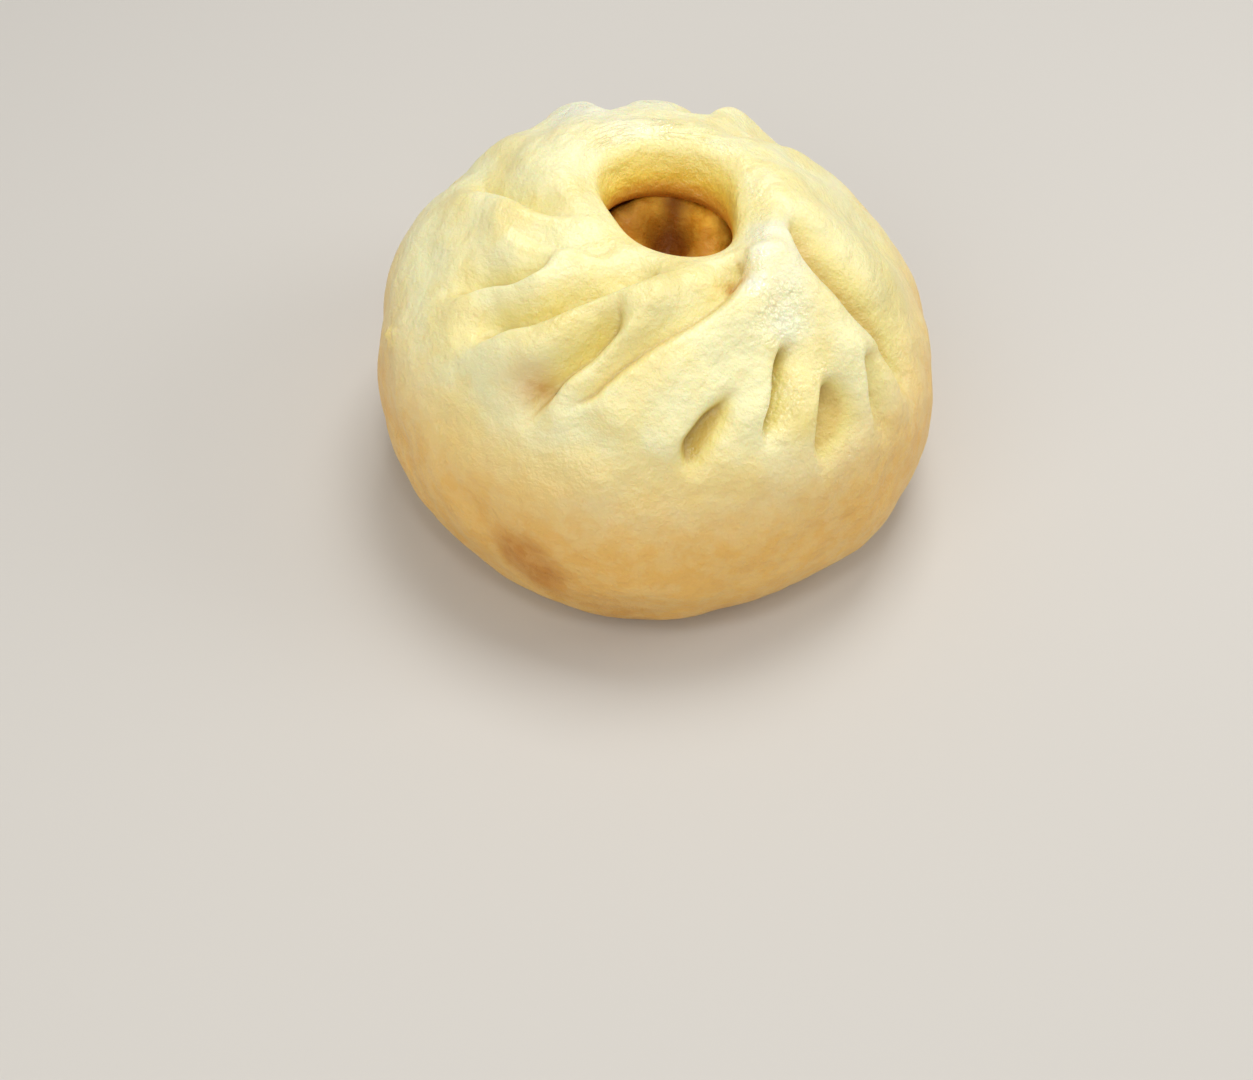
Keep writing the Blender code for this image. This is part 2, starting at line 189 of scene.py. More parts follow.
# the far side's grooves are alike: azimuth, depth, width
backGrooves = [(155, 1.3, 4.0), (131, 1.8, 4.0), (107, 2.2, 3.2), (79, 4.6, 3.0), (57, 1.5, 4.0),
               (35, 1.0, 4.0), (13, 0.8, 4.0)]
backSwirl = [(5, 27), (0, 33), (-3, 43), (-4, 55)]    # turn from the groove, distance
for grooveAzimuth, grooveDepth, grooveWidth in backGrooves:
    swirl = [(grooveAzimuth + turn, distance) for turn, distance in backSwirl]
    folds.append(fold(swirl, 0, grooveDepth, 0.0, 1.0, grooveWidth, 4.0, 7, 18, 0.5))
crease = {
    "shape": 1.9,                       # a round shoulder at the crest, a sharp foot in the valley
    "rollBack": 0.45,                   # a roll is highest this share of its width before the crease
    "narrowest": 0.45,                  # a valley's width at its ends
    "softening": 1.6,                   # creases soften at their ends: the wall is this much wider
    "waver": [(9.0, 0.5, 41), (3.4, 0.14, 42)],     # the folds wander by this much: cell, shift, seed
    "blur": 0.35, "blurGrowth": 0.25,   # places off a crest are measured from a stretch of it
    "reach": 2.6,                       # a fold is left out beyond this many times its width
    "creaseShadeReach": 0.5,                   # of the painted shade line at a crease's foot
    "lead": 1.2,                        # a crest with its valley clockwise runs this far before its path
}


def domeSection(samples=400):
    turn = np.linspace(0, math.pi / 2, samples)
    rise = body["crownHeight"] - body["girthHeight"]
    spread = body["girthRadius"] - body["footRadius"]
    upperR = body["girthRadius"] * np.cos(turn) ** (2 / body["upperPower"])
    upperZ = body["girthHeight"] + rise * np.sin(turn) ** (2 / body["upperPower"])
    lowerR = body["footRadius"] + spread * np.sin(turn) ** (2 / body["lowerPower"])
    lowerZ = body["girthHeight"] * (1 - np.cos(turn) ** (2 / body["lowerPower"]))
    r = np.concatenate([upperR[::-1], lowerR[::-1][1:]])
    z = np.concatenate([upperZ[::-1], lowerZ[::-1][1:]])
    z -= body["craterDepth"] * bump(r - body["craterRadius"], body["craterWidth"]) * (z > body["girthHeight"])
    s = np.concatenate([[0.0], np.cumsum(np.hypot(np.diff(r), np.diff(z)))])
    return s, r, z


section = domeSection()
skinEnd = section[0][-1]


def onSection(s):
    return np.interp(s, section[0], section[1]), np.interp(s, section[0], section[2])


def onBody(azimuth, s):
    # places on the round body before any fold
    r, z = onSection(s)
    return np.stack([r * np.cos(azimuth), r * np.sin(azimuth), z], axis=-1)


def patches(azimuth, s, spots):
    # sum of round soft spots: azimuth, distance along the skin, reach, strength
    places, total = onBody(azimuth, s), np.zeros_like(s)
    for spotAzimuth, spotS, reach, strength in spots:
        centre = onBody(math.radians(spotAzimuth), spotS)
        total += strength * bump(np.linalg.norm(places - centre, axis=1), reach)
    return total


def foldOffsets(azimuth, s):
    # lift along the normal, the painted shade for how deep in a valley each place is, and the painted shade
    # line near a crease's foot
    x, y = s * np.cos(azimuth), s * np.sin(azimuth)
    flat = np.stack([x, y, np.zeros_like(x)], axis=1)
    for cell, shift, seed in crease["waver"]:
        x = x + shift * latticeNoise(flat, cell, seed)
        y = y + shift * latticeNoise(flat, cell, seed + 10)
    lift, valleyShade, creaseShade = np.zeros_like(x), np.zeros_like(x), np.zeros_like(x)
    for f in folds:
        crest = spline([(d * math.cos(math.radians(a)), d * math.sin(math.radians(a))) for a, d in f["path"]])
        run = np.concatenate([[0.0], np.cumsum(np.hypot(*np.diff(crest, axis=0).T))])
        tangent = np.gradient(crest, axis=0)
        tangent /= np.linalg.norm(tangent, axis=1)[:, None]
        reach = crease["reach"] * max(f["valley"], f["crest"])
        low, high = crest.min(axis=0) - reach, crest.max(axis=0) + reach
        near = np.flatnonzero((x > low[0]) & (x < high[0]) & (y > low[1]) & (y < high[1]))
        dx, dy = x[near, None] - crest[:, 0], y[near, None] - crest[:, 1]
        square = dx ** 2 + dy ** 2
        nearest = square.min(axis=1, keepdims=True)
        blur = crease["blur"] + crease["blurGrowth"] * np.sqrt(nearest)
        weight = np.exp((nearest - square) / (2 * blur ** 2))
        weight /= weight.sum(axis=1, keepdims=True)
        side = f["side"] or 1
        acrossX, acrossY = tangent[:, 1] * side, -tangent[:, 0] * side     # towards the valley
        along = (weight * (run + dx * tangent[:, 0] + dy * tangent[:, 1])).sum(axis=1)
        u = (weight * (dx * acrossX + dy * acrossY)).sum(axis=1) + crease["lead"] * max(f["side"], 0)
        strength = (smooth((along + 0.3 * f["fadeIn"]) / f["fadeIn"])
                    * smooth((run[-1] - along + 0.2 * f["fadeOut"]) / f["fadeOut"]))
        wall = f["wall"] * (1 + crease["softening"] * (1 - strength))
        tapered = 1 + (f["taper"] - 1) * smooth(along / run[-1])
        valleyWidth = f["valley"] * tapered * (crease["narrowest"] + (1 - crease["narrowest"]) * strength)
        if f["side"]:
            fallen = np.clip(u / wall, 0, 1) ** crease["shape"]
            beyond = np.maximum(u - wall, 0)
        else:
            fallen, beyond = np.ones_like(u), u
        roll = f["ridge"] * (1 - fallen) * bump(u + crease["rollBack"] * f["crest"], f["crest"])
        valley = f["depth"] * tapered * fallen * bump(beyond, valleyWidth)
        lift[near] += strength * (roll - valley)
        # painted shade: valleys are yellowed and darkened in step with their depth
        valleyShade[near] += f["tint"] * strength * valley
        # painted shade: a dark line along each crease's foot
        creaseShade[near] += f["creaseShade"] * smooth(2 * strength - 0.5) * bump(u - wall, crease["creaseShadeReach"])
    return lift, valleyShade, creaseShade


def facing(azimuth, centre):
    # 1 towards the centre azimuth, 0 away from it
    return 0.5 + 0.5 * np.cos(azimuth - math.radians(centre))


def lipSpread(azimuth):
    return sum(size * np.cos(times * (azimuth - math.radians(at))) for times, size, at in mouth["outline"])


def lipRise(azimuth):
    return mouth["rise"] * facing(azimuth, mouth["riseAzimuth"]) ** mouth["risePower"]


def wrinkleLift(azimuth, s):
    gather, ring = wrinkles["gather"], wrinkles["ring"]
    turned = azimuth - swirlAt(s)
    spots = np.stack([gather["around"] * np.cos(turned), gather["around"] * np.sin(turned),
                      s / gather["along"]], axis=1)
    lift = gather["lift"] * smooth((s - gather["from"]) / gather["fadeIn"])
    lift = lift * smooth((gather["to"] - s) / gather["fadeOut"]) * latticeNoise(spots, 1.0, gather["seed"])
    turn = (azimuth - math.radians(ring["azimuth"]) + math.pi) % (2 * math.pi) - math.pi
    patch = bump(turn, math.radians(ring["span"])) * bump(s - ring["distance"], ring["width"])
    ripple = latticeNoise(np.stack([ring["around"] * np.cos(azimuth), ring["around"] * np.sin(azimuth),
                                    s / ring["along"]], axis=1), 1.0, ring["seed"])
    return lift + ring["lift"] * patch * ripple


def swirlAt(s):
    span = weave["foldsEnd"] - mouth["lipStart"]
    return math.radians(weave["twist"]) * smooth((s - mouth["lipStart"]) / span)


def shapedSkin(azimuth, s):
    # places on the folded skin, the painted shade for how deep in a valley they are, and the painted shade
    # line near a crease's foot
    step = 0.15
    r, z = onSection(s)
    (rIn, zIn), (rOut, zOut) = onSection(s - step), onSection(s + step)
    length = np.hypot(rOut - rIn, zOut - zIn)
    alongR, alongZ = (rOut - rIn) / length, (zOut - zIn) / length
    cos, sin = np.cos(azimuth), np.sin(azimuth)
    lift, valleyShade, creaseShade = foldOffsets(azimuth, s)
    base = onBody(azimuth, s)
    lift += patches(azimuth, s, lumps["slow"])
    for cell, height, seed in lumps["uneven"]:
        lift += height * latticeNoise(base, cell, seed)
    lift += wrinkleLift(azimuth, s)
    torn = patches(azimuth, s, lumps["torn"])
    lift += torn * (0.5 + latticeNoise(base, lumps["tornCell"], lumps["tornSeed"]))
    lip = mouth["lipStart"] + mouth["softLip"] * facing(azimuth, mouth["softAzimuth"])
    fromLip = smooth((s - lip) / mouth["lipFade"])
    lift *= fromLip * smooth((skinEnd - s) / body["footFade"])
    nearLip = bump(np.maximum(s - mouth["reach"], 0), mouth["spreadReach"])
    r = r - lift * alongZ + lipSpread(azimuth) * nearLip
    z = z + lift * alongR + lipRise(azimuth) * nearLip
    offset = bump(np.maximum(s - mouth["reach"], 0), mouth["reach"])
    x = r * cos + mouth["x"] * offset
    y = r * sin + mouth["y"] * offset
    return np.stack([x, y, z], axis=1), valleyShade, creaseShade


def shapedHollow(azimuth, thin, soft):
    # a ring of the throat or the hollow, between its thin and its soft place (radius, height)
    share = facing(azimuth, mouth["softAzimuth"])
    r = thin[0] + (soft[0] - thin[0]) * share
    z = thin[1] + (soft[1] - thin[1]) * share
    offset = np.clip((z - mouth["offsetFoot"]) / (mouth["offsetTop"] - mouth["offsetFoot"]), 0, 1)
    top, foot = mouth["thinThroat"][0][1], mouth["softThroat"][-1][1]
    nearLip = smooth((z - foot) / (top - foot))
    r = r + lipSpread(azimuth) * (mouth["footShare"] + (1 - mouth["footShare"]) * nearLip) * offset
    return np.stack([r * np.cos(azimuth) + mouth["x"] * offset, r * np.sin(azimuth) + mouth["y"] * offset,
                     z + lipRise(azimuth) * nearLip], axis=1)


def ringMesh(name, rings):
    # rings: (count, around, 3) places from a pole to a pole; first and last are single points
    count, around = rings.shape[:2]
    inner = rings[1:-1].reshape(-1, 3)
    verts = np.vstack([inner, rings[0, :1], rings[-1, :1]])
    grid = np.arange((count - 2) * around).reshape(count - 2, around)
    ahead = np.roll(grid, -1, axis=1)
    quads = np.stack([grid[:-1], grid[1:], ahead[1:], ahead[:-1]], axis=-1).reshape(-1, 4)
    first, last = len(inner), len(inner) + 1
    caps = [(first, int(a), int(b)) for a, b in zip(grid[0], ahead[0])]
    caps += [(last, int(b), int(a)) for a, b in zip(grid[-1], ahead[-1])]
    mesh = bpy.data.meshes.new(name)
    mesh.from_pydata((verts * unit).tolist(), [], quads.tolist() + caps)
    mesh.update()
    mesh.shade_smooth()
    piece = bpy.data.objects.new(name, mesh)
    bpy.context.scene.collection.objects.link(piece)
    return piece


def addMask(piece, name, rings):
    # a value for each vertex, for the materials to read
    values = np.concatenate([rings[1:-1].ravel(), rings[0, :1], rings[-1, :1]])
    layer = piece.data.attributes.new(name, 'FLOAT', 'POINT')
    layer.data.foreach_set("value", values.astype(np.float32))


def addPlaces(piece, name, rings):
    # a place for each vertex, for noise that follows the folds
    values = np.concatenate([rings[1:-1].reshape(-1, 3), rings[0, :1], rings[-1, :1]])
    layer = piece.data.attributes.new(name, 'FLOAT_VECTOR', 'POINT')
    layer.data.foreach_set("vector", values.astype(np.float32).ravel())


marks = {
    # azimuth, distance along the skin, reach, strength
    "wet": [(6, 14.5, 2.6, 0.8), (-12, 16, 2.4, 1.0), (-34, 18, 2.2, 1.0), (-49, 21, 2.0, 1.0),
            (-56, 24.5, 1.8, 0.9), (-49, 26.5, 2.6, 0.8), (-50, 32, 4.5, 1.0), (-57, 32, 3.0, 0.8),
            (-44, 30, 3.0, 0.7),
            (-57, 40.5, 3.0, 1.0), (-60, 42.5, 2.4, 1.0), (-63, 46, 2.4, 1.0), (-47, 41, 2.6, 0.8),
            (98, 15, 4.0, 0.35), (70, 15, 4.0, 0.35), (124, 15, 3.0, 0.3),
            (-39, 44, 2.4, 0.7), (-81, 47.2, 1.4, 1.0), (-67, 44, 2.0, 0.4), (95, 18, 4.0, 0.5),
            (121, 31, 6.5, 0.5), (94, 31, 6.5, 0.5), (68, 32, 6.5, 0.45),
            (-100, 30, 2.0, 0.3), (-30, 30, 3.0, 0.3), (-20, 44, 5.0, 0.3)],
    "stain": [(-116, 70.5, 4.0, 1.15), (-113, 74, 4.6, 1.15), (-119, 69, 7.0, 0.12), (-108, 77, 6.5, 0.3),
              (-120.3, 41.4, 3.0, 0.6), (-124, 42.5, 3.6, 0.2), (-57, 21.8, 1.3, 0.9), (-95, 84, 8.0, 0.5),
              (-70, 86, 8.0, 0.42), (-135, 84, 8.0, 0.2), (40, 80, 6.0, 0.45), (150, 76, 5.0, 0.45)],
    "wrinkled": [(104, 17, 6, 1.0), (78, 17, 6, 1.0), (55, 17, 5, 0.8), (128, 17, 5, 0.7), (12, 36, 9, 0.9),
                 (-4, 41, 8, 0.7), (30, 32, 8, 0.6), (170, 50, 12, 0.3)],
    # painted shade: darker, deeper yellow patches where the surface lies in shade, partly the dough's own
    # deeper yellow
    "yellowAndShade": [(-119, 32, 6, 0.7), (-97, 28, 5, 0.6), (-96, 18, 5, 0.7), (-173, 17.6, 4, 0.5),
             (-57, 45.6, 3, 0.8), (-49, 48, 3.5, 0.9), (-8, 43, 8, 0.6), (10, 36, 8, 0.3),
             (-26, 34, 5, 0.5), (-81, 46, 3.0, 0.6)],
    # painted sheen: whiter, paler patches on the far bumps and the neck stand in for a wet sheen
    "paleSheen": [(121, 30, 9, 0.9), (94, 31, 8, 0.4), (-22, 24, 6, 0.6), (-45, 27, 5, 0.4), (112, 17, 5, 0.4),
             (-30, 17.5, 2.6, 0.7), (-45, 20, 2.4, 0.7), (-55, 24, 2.0, 0.8), (-50, 33, 3.0, 0.5)],
    "tanAndBounceFrom": 43.0, "tanAndBounceSpan": 25.0,        # the lower part of the bun is tanned: partly its own browning, partly painted warm bounce light
    "flowRadius": 12,                        # of the places that the noise along the folds reads
}


def makeDough():
    rings = np.arange(mouth["lipStart"], weave["foldsEnd"], weave["foldStep"])
    belly = np.linspace(weave["foldsEnd"], skinEnd,
                        round((skinEnd - weave["foldsEnd"]) / weave["bellyStep"]) + 1)
    rings = np.concatenate([rings, belly])
    azimuth = np.linspace(0, 2 * math.pi, weave["around"], endpoint=False)
    outward = smooth((weave["foldsEnd"] - rings) / (weave["foldsEnd"] - mouth["lipStart"]))[:, None]
    allS = (rings[:, None] + mouth["softLip"] * outward * facing(azimuth, mouth["softAzimuth"])).ravel()
    allAzimuth = (azimuth[None, :] + swirlAt(rings)[:, None]).ravel()
    skin, valleyShade, creaseShade = shapedSkin(allAzimuth, allS)
    skin = skin.reshape(len(rings), -1, 3)
    # throat and hollow, floor first
    thin = spline(mouth["thinThroat"] + mouth["hollow"], weave["throatSpan"])[::-1]
    soft = spline(mouth["softThroat"] + mouth["hollow"], weave["throatSpan"])[::-1]
    hollow = np.array([shapedHollow(azimuth, *pair) for pair in zip(thin, soft)])
    foot = np.array([skin[-1] * (share, share, 0) for share in body["footRings"]])
    allRings = np.concatenate([hollow, skin, foot])
    piece = ringMesh("doughBody", allRings)

    def overSkin(values, under=0.0):
        # values on the skin, under on the foot, and nothing inside
        grid = np.full(allRings.shape[:2], float(under))
        grid[:len(hollow)] = 0.0
        grid[len(hollow):len(hollow) + len(rings)] = values.reshape(len(rings), -1)
        return grid

    # the lower part's tan: partly browning, partly painted warm bounce light
    tanAndBounce = smooth((allS - marks["tanAndBounceFrom"]) / marks["tanAndBounceSpan"])
    outS = allS.reshape(len(rings), -1)
    # how far below the lip each place is, less than nothing for the skin outside it
    sunk = np.full(allRings.shape[:2], outS[0].min() - skinEnd)
    sunk[:len(hollow)] = skin[0, :, 2] - hollow[:, :, 2]
    sunk[len(hollow):len(hollow) + len(rings)] = outS[0] - outS
    # painted shade in the valleys, and a painted shade line at the crease feet
    addMask(piece, "valley", overSkin(valleyShade))
    addMask(piece, "crease", overSkin(np.minimum(creaseShade, 1)))
    addMask(piece, "sunk", sunk)
    addMask(piece, "tanAndBounce", overSkin(tanAndBounce, under=1.0))
    for name in ("wet", "paleSheen", "yellowAndShade", "wrinkled", "stain"):
        addMask(piece, name, overSkin(np.minimum(patches(allAzimuth, allS, marks[name]), 1)))
    reachS = outS[0] - sunk
    unswirled = np.repeat(azimuth[None, :], len(allRings), axis=0)
    unswirled[len(hollow):len(hollow) + len(rings)] = (allAzimuth - swirlAt(allS)).reshape(len(rings), -1)
    around = marks["flowRadius"]
    flow = np.stack([around * np.cos(unswirled), around * np.sin(unswirled), reachS], axis=2)
    addPlaces(piece, "flow", flow)
    print("dough made,", len(piece.data.polygons), "faces")
    return piece


dough = makeDough()


filling = {
    "radius": 32.4, "shoulder": 24.0, "top": 43.9, "domePower": 1.6,
    "around": 260, "domeRings": 70, "sideSpan": 5,
    "side": [(32.4, 24.0), (30.0, 13.8), (21.7, 8.8), (11.0, 7.7), (0.0, 7.6)],
    "lumps": [(-6.8, 8.2, 4.6, 4.4), (8.6, 8.2, 4.6, 4.9), (1.6, 5.5, 3.6, -4.5), (0.5, 13.0, 5.5, 5.7),
              (2.0, -8.0, 8.0, 1.0), (-14.0, -4.0, 8.0, 1.2)],     # x, y, reach, lift
    "rim": {"radius": 12.4, "width": 2.4, "lift": 1.0, "azimuth": 110.0},    # it swells against the far wall
    "shadedClefts": [(1.7, 6.0, 3.4, 1.0), (2.0, 1.0, 5.0, 1.0), (2.2, 11.0, 2.2, 0.7),
               (-9.0, 11.5, 4.2, 0.75), (-5.0, 7.4, 3.8, 0.55)],     # x, y, reach, strength of the painted shade in the clefts and under the far wall
    "grain": [(5.0, 0.8, 21), (2.4, 0.5, 22), (1.2, 0.22, 23)],     # cell, lift, seed
}


def makeFilling():
    turns = np.linspace(math.pi / 2, 0, filling["domeRings"] + 1)[:-1]
    rise = filling["top"] - filling["shoulder"]
    domeR = filling["radius"] * np.maximum(np.cos(turns), 0) ** filling["domePower"]
    domeR[0] = 0.0
    profile = np.vstack([np.stack([domeR, filling["shoulder"] + rise * np.sin(turns)], axis=1),
                         spline(filling["side"], filling["sideSpan"])])
    azimuth = np.linspace(0, 2 * math.pi, filling["around"], endpoint=False)
    rings = np.array([np.stack([r * np.cos(azimuth), r * np.sin(azimuth), np.full_like(azimuth, z)], axis=1)
                      for r, z in profile])
    flat = rings.reshape(-1, 3)
    top = smooth((flat[:, 2] - filling["shoulder"]) / (0.5 * rise))
    for x, y, reach, height in filling["lumps"]:
        flat[:, 2] += height * top * bump(np.hypot(flat[:, 0] - x, flat[:, 1] - y), reach)
    rim = filling["rim"]
    fromMouthX, fromMouthY = flat[:, 0] - mouth["x"], flat[:, 1] - mouth["y"]
    swell = rim["lift"] * bump(np.hypot(fromMouthX, fromMouthY) - rim["radius"], rim["width"])
    flat[:, 2] += top * swell * facing(np.arctan2(fromMouthY, fromMouthX), rim["azimuth"])
    for cell, height, seed in filling["grain"]:
        flat[:, 2] += top * height * latticeNoise(flat, cell, seed)
    piece = ringMesh("meatFilling", flat.reshape(rings.shape))
    # painted shade in the clefts between the lumps and under the far wall
    cleftShade = np.zeros(len(flat))
    for x, y, reach, strength in filling["shadedClefts"]:
        cleftShade += strength * bump(np.hypot(flat[:, 0] - x, flat[:, 1] - y), reach)
    addMask(piece, "cleftShade", np.clip(cleftShade, 0, 1).reshape(rings.shape[:2]))
    print("filling made,", len(piece.data.polygons), "faces")
    return piece


meat = makeFilling()


def newMaterial(name):
    material = bpy.data.materials.new(name)
    material.use_nodes = True
    return material, material.node_tree, material.node_tree.nodes["Principled BSDF"]


def addNode(tree, kind, **settings):
    node = tree.nodes.new(kind)
    for key, value in settings.items():
        setattr(node, key, value)
    return node


def plug(tree, value, socket):
    # a socket is linked, a number or colour is set
    if isinstance(value, bpy.types.NodeSocket):
        tree.links.new(value, socket)
    elif isinstance(value, tuple) and len(value) == 3 and len(socket.default_value) == 4:
        socket.default_value = (*value, 1)
    else:
        socket.default_value = value


def maths(tree, operation, a, b=0.0):
    node = addNode(tree, "ShaderNodeMath", operation=operation)
    plug(tree, a, node.inputs[0])
    plug(tree, b, node.inputs[1])
    return node.outputs[0]


def between(tree, value, low, high, toLow=0.0, toHigh=1.0):
    # soft step from toLow to toHigh while the value goes from low to high
    node = addNode(tree, "ShaderNodeMapRange", interpolation_type='SMOOTHSTEP')
    for name, number in (("Value", value), ("From Min", low), ("From Max", high),
                         ("To Min", toLow), ("To Max", toHigh)):
        plug(tree, number, node.inputs[name])
    return node.outputs["Result"]


def mixColour(tree, share, a, b):
    node = addNode(tree, "ShaderNodeMix", data_type='RGBA')
    plug(tree, share, node.inputs[0])
    plug(tree, a, node.inputs[6])
    plug(tree, b, node.inputs[7])
    return node.outputs[2]


def mask(tree, name):
    return addNode(tree, "ShaderNodeAttribute", attribute_name=name).outputs["Fac"]


def newGroup(name, sockets, output):
    group = bpy.data.node_groups.new(name, 'ShaderNodeTree')
    for socket, value in sockets:
        entry = group.interface.new_socket(socket, in_out='INPUT', socket_type='NodeSocketFloat')
        entry.default_value = value
    group.interface.new_socket(output, in_out='OUTPUT', socket_type='NodeSocketFloat')
    return group, group.nodes.new("NodeGroupInput").outputs, group.nodes.new("NodeGroupOutput").inputs


def cellNoise(tree, cell, detail, roughness=0.55, places=None):
    # noise with blobs about a cell wide, in metres
    if places is None:
        places = addNode(tree, "ShaderNodeTexCoord").outputs["Object"]
    shrink = addNode(tree, "ShaderNodeVectorMath", operation='SCALE')
    plug(tree, places, shrink.inputs[0])
    plug(tree, maths(tree, 'DIVIDE', 1.0, cell), shrink.inputs["Scale"])
    noise = addNode(tree, "ShaderNodeTexNoise")
    plug(tree, shrink.outputs[0], noise.inputs["Vector"])
    noise.inputs["Scale"].default_value = 1.0
    plug(tree, detail, noise.inputs["Detail"])
    noise.inputs["Roughness"].default_value = roughness
    return noise.outputs["Fac"]


def alongFlow(tree, flow, around, along, detail):
    # noise that follows the skin: blobs per mm around the mouth and away from it
    scale = addNode(tree, "ShaderNodeVectorMath", operation='MULTIPLY')
    plug(tree, flow, scale.inputs[0])
    scale.inputs[1].default_value = (around, around, along)
    return cellNoise(tree, 1.0, detail, 0.6, scale.outputs[0])


def mottleGroup():
    # soft blotches from 0 to 1
    sockets = [("Cell", 0.005), ("Detail", 3.0), ("Low", 0.4), ("High", 0.6)]
    tree, given, out = newGroup("mottle", sockets, "Blotch")
    noise = cellNoise(tree, given["Cell"], given["Detail"])
    plug(tree, between(tree, noise, given["Low"], given["High"]), out["Blotch"])
    return tree


def grainGroup():
    # fine relief, in metres, coarse and fine together
    tree, given, out = newGroup("moistGrain", [("Cell", 0.001), ("Height", 0.00005)], "Relief")
    coarse = cellNoise(tree, given["Cell"], 2.0)
    fine = cellNoise(tree, maths(tree, 'MULTIPLY', given["Cell"], 0.35), 2.0)
    total = maths(tree, 'ADD', coarse, maths(tree, 'MULTIPLY', fine, 0.4))
    plug(tree, maths(tree, 'MULTIPLY', total, given["Height"]), out["Relief"])
    return tree


mottle, moistGrain = mottleGroup(), grainGroup()


def groupNode(tree, group, **values):
    node = addNode(tree, "ShaderNodeGroup", node_tree=group)
    for name, value in values.items():
        node.inputs[name].default_value = value
    return node.outputs[0]


doughLook = {
    # the pale colour here is a painted sheen
    "cream": (0.93, 0.88, 0.51), "butter": (0.92, 0.81, 0.38), "paleSheen": (0.92, 0.935, 0.73),
    # the rich colour here is partly the dough's own deeper yellow, partly painted shade
    "yellowAndShade": (0.78, 0.67, 0.24),
    # shares, how the small blotches vary them, and the depths where a valley's painted shade colours begin
    # and end
    # the tan colour here is partly browning, partly painted warm bounce light
    "tanAndBounce": (0.84, 0.50, 0.105), "tanAndBounceShare": 1.0, "tanAndBounceBlotch": (0.855, 1.03),
    "valley": (0.84, 0.73, 0.25), "valleyShare": 0.85, "valleySpan": (0.3, 2.6),
    "pitShade": (0.68, 0.49, 0.12), "pitShadeShare": 0.8, "pitShadeSpan": (2.0, 3.8),
    # the crease colour is a painted shade line
    "crease": (0.60, 0.42, 0.10), "creaseShadeShare": 0.75,
    "stain": (0.57, 0.24, 0.014), "stainShare": 1.0, "stainBlotch": (0.75, 1.0),
    # the throat's painted glow and painted shade: orange near the lip, brown deeper down, and how deep below
    # the lip (mm) each begins and ends
    "throat": [((0.99, 0.85, 0.38), -0.8, 1.2), ((1.0, 0.79, 0.21), 0.4, 2.6), ((1.0, 0.69, 0.10), 2.6, 5.2),
               ((0.80, 0.42, 0.05), 5.0, 7.2), ((0.52, 0.21, 0.02), 7.0, 8.6)],
    "speck": (0.20, 0.10, 0.04), "speckShare": 0.5, "speckScale": 160, "speckEdge": (0.045, 0.015),
    "broadCell": 0.011, "smallCell": 0.0032,
    "dry": 0.45, "moist": 0.12, "damp": 0.3,              # damp is the skin's share away from the wet marks
    "wetBlotch": (0.55, 1.0), "wetSpan": (0.15, 0.7),
    "scatter": 0.5, "scatterRadius": (1.0, 0.72, 0.36), "scatterScale": 0.0024,
    "grainCell": 0.0010, "grainHeight": 0.00020,
    "dentCell": 0.0042, "dentHeight": 0.00080,
    "stretchHeight": 0.00012, "wrinkleHeight": 0.00009,
    "gloss": 0.8, "sparkleCell": 0.00085, "sparkleHeight": 0.00018,
    "moistCell": 0.00050, "moistHeight": 0.00006,
}


